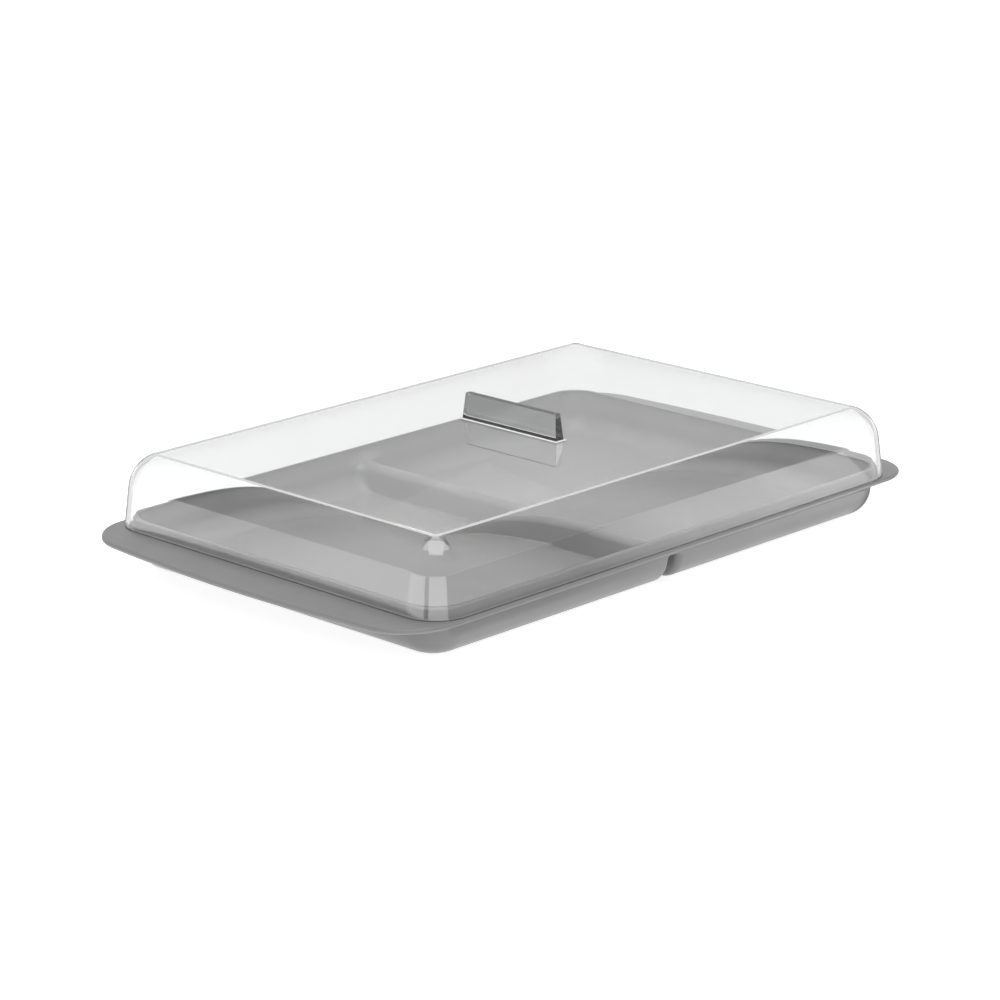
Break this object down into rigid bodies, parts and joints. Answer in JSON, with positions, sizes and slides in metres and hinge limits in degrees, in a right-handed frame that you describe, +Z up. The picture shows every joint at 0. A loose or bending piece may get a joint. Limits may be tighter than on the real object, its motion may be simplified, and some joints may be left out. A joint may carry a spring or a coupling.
{
  "type": "humidity dome tray",
  "caption": "Rectangular divided grey tray with end ears, under a clear dome cover that lifts off by an upright tab on its top.",
  "frame": {"origin": "middle of the underside, on the surface that the basins stand on", "axes": "+X along the tray's length, from ear to ear; +Y across its width; +Z up, the way the cover lifts"},
  "size_m": [0.4, 0.24, 0.0741],
  "materials": {
    "tray": "satin grey moulding",
    "dome": "clear and polished",
    "tab": "clear and polished"
  },
  "bodies": {
    "tray": {"tray": "tray"},
    "cover": {"dome_cover": "dome", "lift_tab": "tab"}
  },
  "joints": [
    {"name": "cover_lift", "type": "slide", "parent": "tray", "child": "cover", "axis": [0, 0, 1], "range_m": [0, 0.15]}
  ]
}
